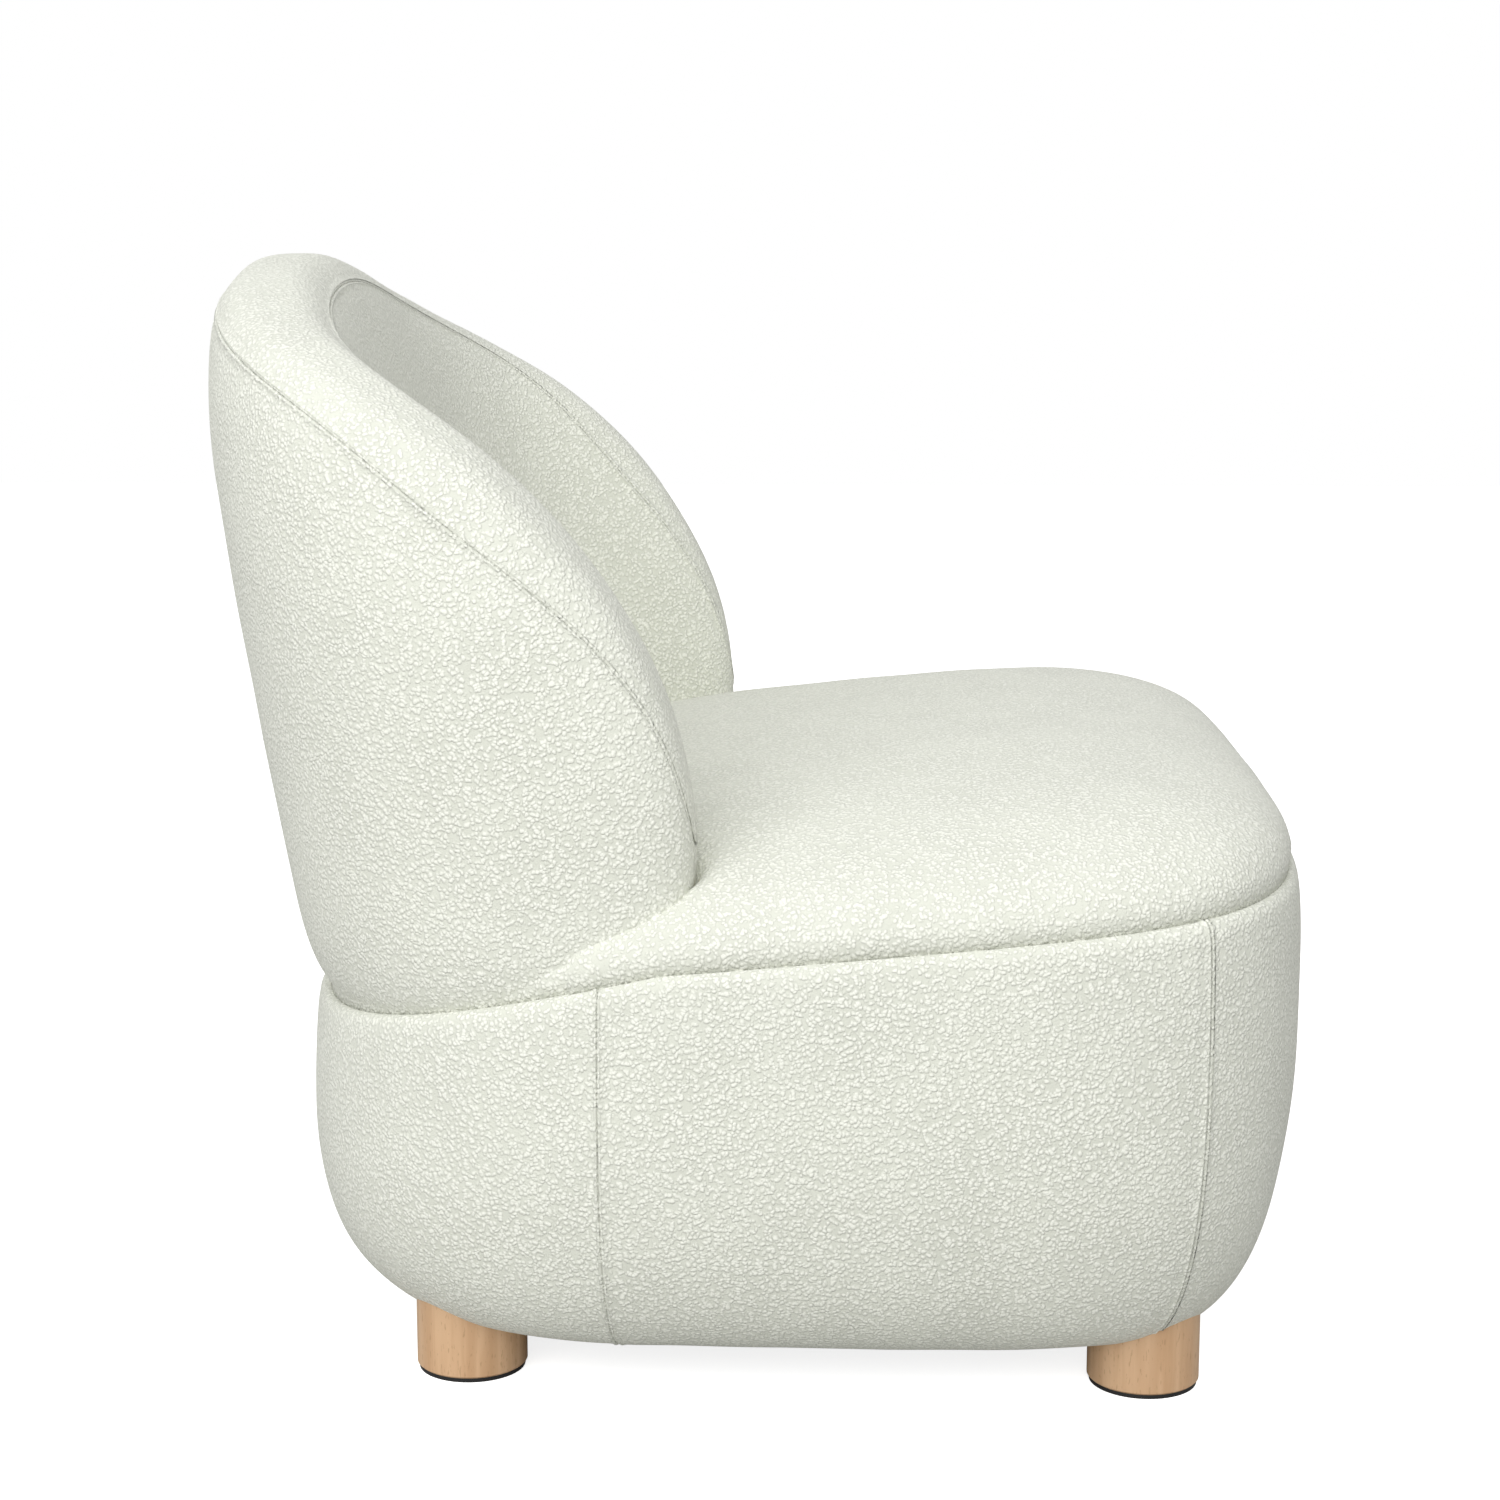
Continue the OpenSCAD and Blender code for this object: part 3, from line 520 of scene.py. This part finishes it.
# looped yarn: warped rounded cells for the loops, with small fibres on them, and a mask of painted shade
# where the yarn lies low between the loops
def loopedYarnGroup():
    group, start, end = newGroup(
        "loopedYarn",
        [
            ("Vector", "NodeSocketVector", None),
            ("Loops", "NodeSocketFloat", 300.0),
            ("Warp", "NodeSocketFloat", 0.5),
        ],
        [("Height", "NodeSocketFloat"), ("PaintedGapShade", "NodeSocketFloat"), ("Patches", "NodeSocketFloat")],
    )
    vector, loops, warp = start.outputs[0], start.outputs[1], start.outputs[2]
    half = mathNode(group, "MULTIPLY", loops, 0.45)
    swirl = noiseNode(group, vector, half, 1.0)["Color"]
    halfway = {0: swirl, 1: (0.5, 0.5, 0.5)}
    centred = addNode(group, "ShaderNodeVectorMath", {"operation": "SUBTRACT"}, halfway)
    spread = mathNode(group, "DIVIDE", warp, half)
    scaling = {0: centred.outputs[0], "Scale": spread}
    moved = addNode(group, "ShaderNodeVectorMath", {"operation": "SCALE"}, scaling)
    place = addNode(group, "ShaderNodeVectorMath", {"operation": "ADD"}, {0: vector, 1: moved.outputs[0]})
    cells = addNode(
        group, "ShaderNodeTexVoronoi", {"feature": "SMOOTH_F1"},
        {"Vector": place.outputs[0], "Scale": loops, "Smoothness": 0.08, "Randomness": 1.0},
    )
    fineScale = mathNode(group, "MULTIPLY", loops, 3.4)
    fibres = noiseNode(group, place.outputs[0], fineScale, 3.0, Roughness=0.6)[0]
    fuzz = mathNode(group, "MULTIPLY", fibres, 0.4)
    squared = mathNode(group, "MULTIPLY", cells.outputs["Distance"], cells.outputs["Distance"])
    bump = mathNode(group, "SUBTRACT", 1.0, mathNode(group, "MULTIPLY", squared, 2.4), clamp=True)
    height = mathNode(group, "ADD", mathNode(group, "MULTIPLY", bump, 0.75), fuzz)
    group.links.new(height, end.inputs["Height"])
    # painted shade mask: 1 where the yarn is low between the loops, 0 on the loop tops
    group.links.new(mapRange(group, height, 0.35, 0.9, 1.0, 0.0), end.inputs["PaintedGapShade"])
    broad = noiseNode(group, vector, mathNode(group, "MULTIPLY", loops, 0.05), 2.0)[0]
    group.links.new(mapRange(group, broad, 0.3, 0.7), end.inputs["Patches"])
    return group


# wood grain: long streaks along one axis, with fine pores
def woodGrainGroup():
    group, start, end = newGroup(
        "woodGrain",
        [
            ("Vector", "NodeSocketVector", None),
            ("Streaks", "NodeSocketFloat", 60.0),
            ("Pores", "NodeSocketFloat", 500.0),
        ],
        [("Streak", "NodeSocketFloat"), ("Pore", "NodeSocketFloat"), ("Flame", "NodeSocketFloat")],
    )
    vector, streaks, poreScale = start.outputs[0], start.outputs[1], start.outputs[2]
    slow = noiseNode(group, vector, streaks, 4.0, Roughness=0.55, Distortion=0.4)[0]
    pores = noiseNode(group, vector, poreScale, 2.0, Roughness=0.5)[0]
    flame = noiseNode(group, vector, mathNode(group, "MULTIPLY", streaks, 0.25), 2.0)[0]
    group.links.new(mapRange(group, slow, 0.32, 0.68), end.inputs["Streak"])
    group.links.new(mapRange(group, pores, 0.60, 0.70), end.inputs["Pore"])
    group.links.new(mapRange(group, flame, 0.35, 0.65), end.inputs["Flame"])
    return group


loopedYarn = loopedYarnGroup()
woodGrain = woodGrainGroup()


# a material, its tree and shader, and places in the object's own space
def newMaterial(name):
    material = bpy.data.materials.new(name)
    material.use_nodes = True
    tree = material.node_tree
    place = addNode(tree, "ShaderNodeTexCoord").outputs["Object"]
    return material, tree, tree.nodes["Principled BSDF"], place


def bumpNode(tree, shader, height, strength, distance):
    inputs = {"Strength": strength, "Distance": distance, "Height": height}
    bump = addNode(tree, "ShaderNodeBump", {}, inputs)
    tree.links.new(bump.outputs[0], shader.inputs["Normal"])


# an sRGB colour given as 0 to 255, made linear
def paint(r, g, b):
    v = np.array([r, g, b]) / 255
    v = np.where(v <= 0.04045, v / 12.92, ((v + 0.055) / 1.055) ** 2.4)
    return (*[float(c) for c in v], 1.0)


boucle = {
    "loops": 345.0,
    "light": paint(250, 251, 241),
    # dark: painted shade, the colour given to the low gaps between the loops
    "dark": paint(224, 226, 214),
    "patch": paint(243, 245, 233),
    "bump": 0.0011,
    "warp": 0.55,
}


def boucleMaterial():
    material, tree, shader, place = newMaterial("boucle")
    knit = {"Vector": place, "Loops": boucle["loops"], "Warp": boucle["warp"]}
    yarn = addNode(tree, "ShaderNodeGroup", {"node_tree": loopedYarn}, knit)
    # painted shade: the colour goes from light to dark in the low gaps between the loops
    shade = mixColor(tree, yarn.outputs["PaintedGapShade"], boucle["light"], boucle["dark"])
    tone = mapRange(tree, yarn.outputs["Patches"], 0.0, 1.0, 0.0, 0.25)
    tree.links.new(mixColor(tree, tone, shade, boucle["patch"]), shader.inputs["Base Color"])
    shader.inputs["Roughness"].default_value = 0.96
    shader.inputs["Sheen Weight"].default_value = 0.25
    shader.inputs["Sheen Roughness"].default_value = 0.6
    shader.inputs["Specular IOR Level"].default_value = 0.15
    bumpNode(tree, shader, yarn.outputs["Height"], 0.9, boucle["bump"])
    return material


# stretches the pattern along one axis by giving it small steps there
def stretched(tree, place, scale):
    return addNode(tree, "ShaderNodeMapping", {}, {"Vector": place, "Scale": scale}).outputs[0]


# wood grain stretched along one axis
def grainNode(tree, place, stretch, streaks, pores):
    inputs = {"Vector": stretched(tree, place, stretch), "Streaks": streaks, "Pores": pores}
    return addNode(tree, "ShaderNodeGroup", {"node_tree": woodGrain}, inputs)


beech = {
    "pale": paint(222, 184, 145),
    "streak": paint(203, 162, 122),
    "flame": paint(228, 195, 160),
    "fleck": paint(176, 136, 99),
}


def beechMaterial():
    material, tree, shader, place = newMaterial("beech")
    grain = grainNode(tree, place, (1.0, 1.0, 0.07), 90.0, 700.0)
    body = mixColor(tree, grain.outputs["Streak"], beech["pale"], beech["streak"])
    body = mixColor(tree, mapRange(tree, grain.outputs["Flame"], 0, 1, 0, 0.5), body, beech["flame"])
    flecks = grainNode(tree, place, (1.0, 1.0, 0.22), 300.0, 620.0)
    fleck = mapRange(tree, flecks.outputs["Pore"], 0, 1, 0, 0.5)
    tree.links.new(mixColor(tree, fleck, body, beech["fleck"]), shader.inputs["Base Color"])
    rough = mapRange(tree, grain.outputs["Pore"], 0, 1, 0.5, 0.65)
    tree.links.new(rough, shader.inputs["Roughness"])
    shader.inputs["Coat Weight"].default_value = 0.08
    bumpNode(tree, shader, grain.outputs["Pore"], 0.25, 0.0002)
    return material


plywood = {
    "pale": paint(222, 193, 148),
    "streak": paint(201, 167, 120),
    "glue": paint(170, 132, 88),
    "plies": 110.0,
}


def plywoodMaterial():
    material, tree, shader, place = newMaterial("plywood")
    bands = {"wave_type": "BANDS", "bands_direction": "Z"}
    inputs = {"Vector": place, "Scale": plywood["plies"], "Distortion": 0.6}
    plies = addNode(tree, "ShaderNodeTexWave", bands, inputs)
    grain = grainNode(tree, place, (0.12, 1.0, 1.0), 70.0, 500.0)
    body = mixColor(tree, grain.outputs["Streak"], plywood["pale"], plywood["streak"])
    layers = mapRange(tree, plies.outputs["Fac"], 0.3, 0.7, 0.0, 0.3)
    tree.links.new(mixColor(tree, layers, body, plywood["glue"]), shader.inputs["Base Color"])
    tree.links.new(mapRange(tree, grain.outputs["Pore"], 0, 1, 0.6, 0.8), shader.inputs["Roughness"])
    bumpNode(tree, shader, grain.outputs["Streak"], 0.2, 0.0003)
    return material


steel = {"dull": paint(176, 180, 184), "bright": paint(206, 209, 211)}


def steelMaterial():
    material, tree, shader, place = newMaterial("zincSteel")
    clouds = noiseNode(tree, place, 260.0, 4.0)[0]
    tone = mixColor(tree, clouds, steel["dull"], steel["bright"])
    tree.links.new(tone, shader.inputs["Base Color"])
    tree.links.new(mapRange(tree, clouds, 0.3, 0.7, 0.28, 0.45), shader.inputs["Roughness"])
    shader.inputs["Metallic"].default_value = 1.0
    bumpNode(tree, shader, clouds, 0.1, 0.0002)
    return material


foamLook = {"cell": paint(246, 239, 208), "wall": paint(226, 214, 172)}


def foamMaterial():
    material, tree, shader, place = newMaterial("foam")
    cells = addNode(tree, "ShaderNodeTexVoronoi", {"feature": "F1"}, {"Vector": place, "Scale": 700.0})
    tone = mixColor(tree, cells.outputs["Distance"], foamLook["cell"], foamLook["wall"])
    tree.links.new(tone, shader.inputs["Base Color"])
    shader.inputs["Roughness"].default_value = 0.95
    bumpNode(tree, shader, cells.outputs["Distance"], 0.5, 0.0006)
    return material


blackCloth = {"dark": paint(26, 26, 28), "light": paint(48, 48, 51)}


# thin black non-woven cloth: pressed dots over tangled fibres
def blackClothMaterial():
    material, tree, shader, place = newMaterial("blackCloth")
    fibres = noiseNode(tree, place, 900.0, 3.0)[0]
    spots = {"Vector": place, "Scale": 420.0, "Randomness": 0.1}
    dots = addNode(tree, "ShaderNodeTexVoronoi", {"feature": "F1"}, spots)
    tone = mixColor(tree, fibres, blackCloth["dark"], blackCloth["light"])
    tree.links.new(tone, shader.inputs["Base Color"])
    shader.inputs["Roughness"].default_value = 0.9
    bumpNode(tree, shader, dots.outputs["Distance"], 0.4, 0.0004)
    return material


blackPlastic = {"dark": paint(24, 24, 25), "light": paint(40, 40, 41)}


def blackPlasticMaterial():
    material, tree, shader, place = newMaterial("blackPlastic")
    grit = noiseNode(tree, place, 1400.0, 2.0)[0]
    scuffs = noiseNode(tree, place, 60.0, 5.0)[0]
    tone = mixColor(tree, scuffs, blackPlastic["dark"], blackPlastic["light"])
    tree.links.new(tone, shader.inputs["Base Color"])
    tree.links.new(mapRange(tree, scuffs, 0.3, 0.7, 0.45, 0.62), shader.inputs["Roughness"])
    bumpNode(tree, shader, grit, 0.2, 0.0002)
    return material


materials = {
    "boucle_fabric": boucleMaterial(),
    "foam": foamMaterial(),
    "beech": beechMaterial(),
    "plywood": plywoodMaterial(),
    "steel": steelMaterial(),
    "black_cloth": blackClothMaterial(),
    "black_plastic": blackPlasticMaterial(),
}


# puts a slot's material on a piece
def wear(piece, slot):
    piece.data.materials.clear()
    piece.data.materials.append(materials[slot])


for part in frame["record"]["subparts"]:
    wear(nodes[part["node"]], part["material_slot"])
for piece in covers:
    wear(piece, "boucle_fabric")
for piece in foams:
    wear(piece, "foam")
print("materials:", len(materials))

studio = {
    "floorSize": 14.0,
    "worldStrength": 0.57,
    "keyPlace": (-3.15, 0.85, 2.9),
    "keyAim": (0.0, -0.05, 0.35),
    "keySize": 4.4,
    "keyPower": 142.0,
    "floorPale": (paint(250, 250, 249), paint(253, 253, 252)),
    "floorBounce": paint(182, 182, 180),  # what the chair gets back from the floor
    "floorGlow": 0.8,
}


# points an object's -Z at a target
def aim(item, target):
    item.rotation_euler = (Vector(target) - item.location).to_track_quat("-Z", "Y").to_euler()


# a floor that shows white and lights the chair as grey
def makeFloor():
    size = studio["floorSize"] / 2
    corners = np.array([[-size, -size, 0], [size, -size, 0], [size, size, 0], [-size, size, 0]])
    floor = meshPiece("studioFloor", corners, np.array([[0, 1, 2, 3]]))
    material, tree, shader, place = newMaterial("paleFloor")
    mottle = noiseNode(tree, place, 3.0, 2.0)[0]
    pale = mixColor(tree, mottle, *studio["floorPale"])
    seen = addNode(tree, "ShaderNodeLightPath").outputs["Is Camera Ray"]
    tree.links.new(mixColor(tree, seen, studio["floorBounce"], pale), shader.inputs["Base Color"])
    glow = mathNode(tree, "MULTIPLY", seen, studio["floorGlow"])
    shader.inputs["Roughness"].default_value = 0.9
    shader.inputs["Emission Color"].default_value = (1, 1, 1, 1)
    tree.links.new(glow, shader.inputs["Emission Strength"])
    floor.data.materials.append(material)


def makeLight(name, place, target, size, power):
    data = bpy.data.lights.new(name, "AREA")
    data.size = size
    data.energy = power
    light = bpy.data.objects.new(name, data)
    light.location = place
    aim(light, target)
    scene.collection.objects.link(light)


# the room lights softly and shows white behind the chair
def makeRoom():
    world = bpy.data.worlds.new("studioRoom")
    world.use_nodes = True
    tree = world.node_tree
    shader = tree.nodes["Background"]
    path = addNode(tree, "ShaderNodeLightPath")
    strength = mapRange(tree, path.outputs["Is Camera Ray"], 0.0, 1.0, studio["worldStrength"], 1.0)
    shader.inputs["Color"].default_value = (1, 1, 1, 1)
    tree.links.new(strength, shader.inputs["Strength"])
    scene.world = world


# where the camera stands, degrees that it turns toward the rear and down, lens, and shift of the picture
view = {
    "place": (-2.2003, -0.0587, 0.7668),
    "yaw": 1.833,
    "pitch": 9.66,
    "lens": 69.51,
    "shift": (0.00556, -0.01087),
}


def makeCamera():
    data = bpy.data.cameras.new("studioCamera")
    data.sensor_width = 36
    data.lens = view["lens"]
    data.shift_x, data.shift_y = view["shift"]
    camera = bpy.data.objects.new("studioCamera", data)
    yaw, pitch = math.radians(view["yaw"]), math.radians(view["pitch"])
    ahead = Vector((math.cos(pitch) * math.cos(yaw), math.cos(pitch) * math.sin(yaw), -math.sin(pitch)))
    camera.location = view["place"]
    camera.rotation_euler = ahead.to_track_quat("-Z", "Y").to_euler()
    scene.collection.objects.link(camera)
    scene.camera = camera


makeFloor()
makeRoom()
makeLight("softKey", studio["keyPlace"], studio["keyAim"], studio["keySize"], studio["keyPower"])
makeCamera()
scene.view_settings.view_transform = "Standard"
print("studio ready")
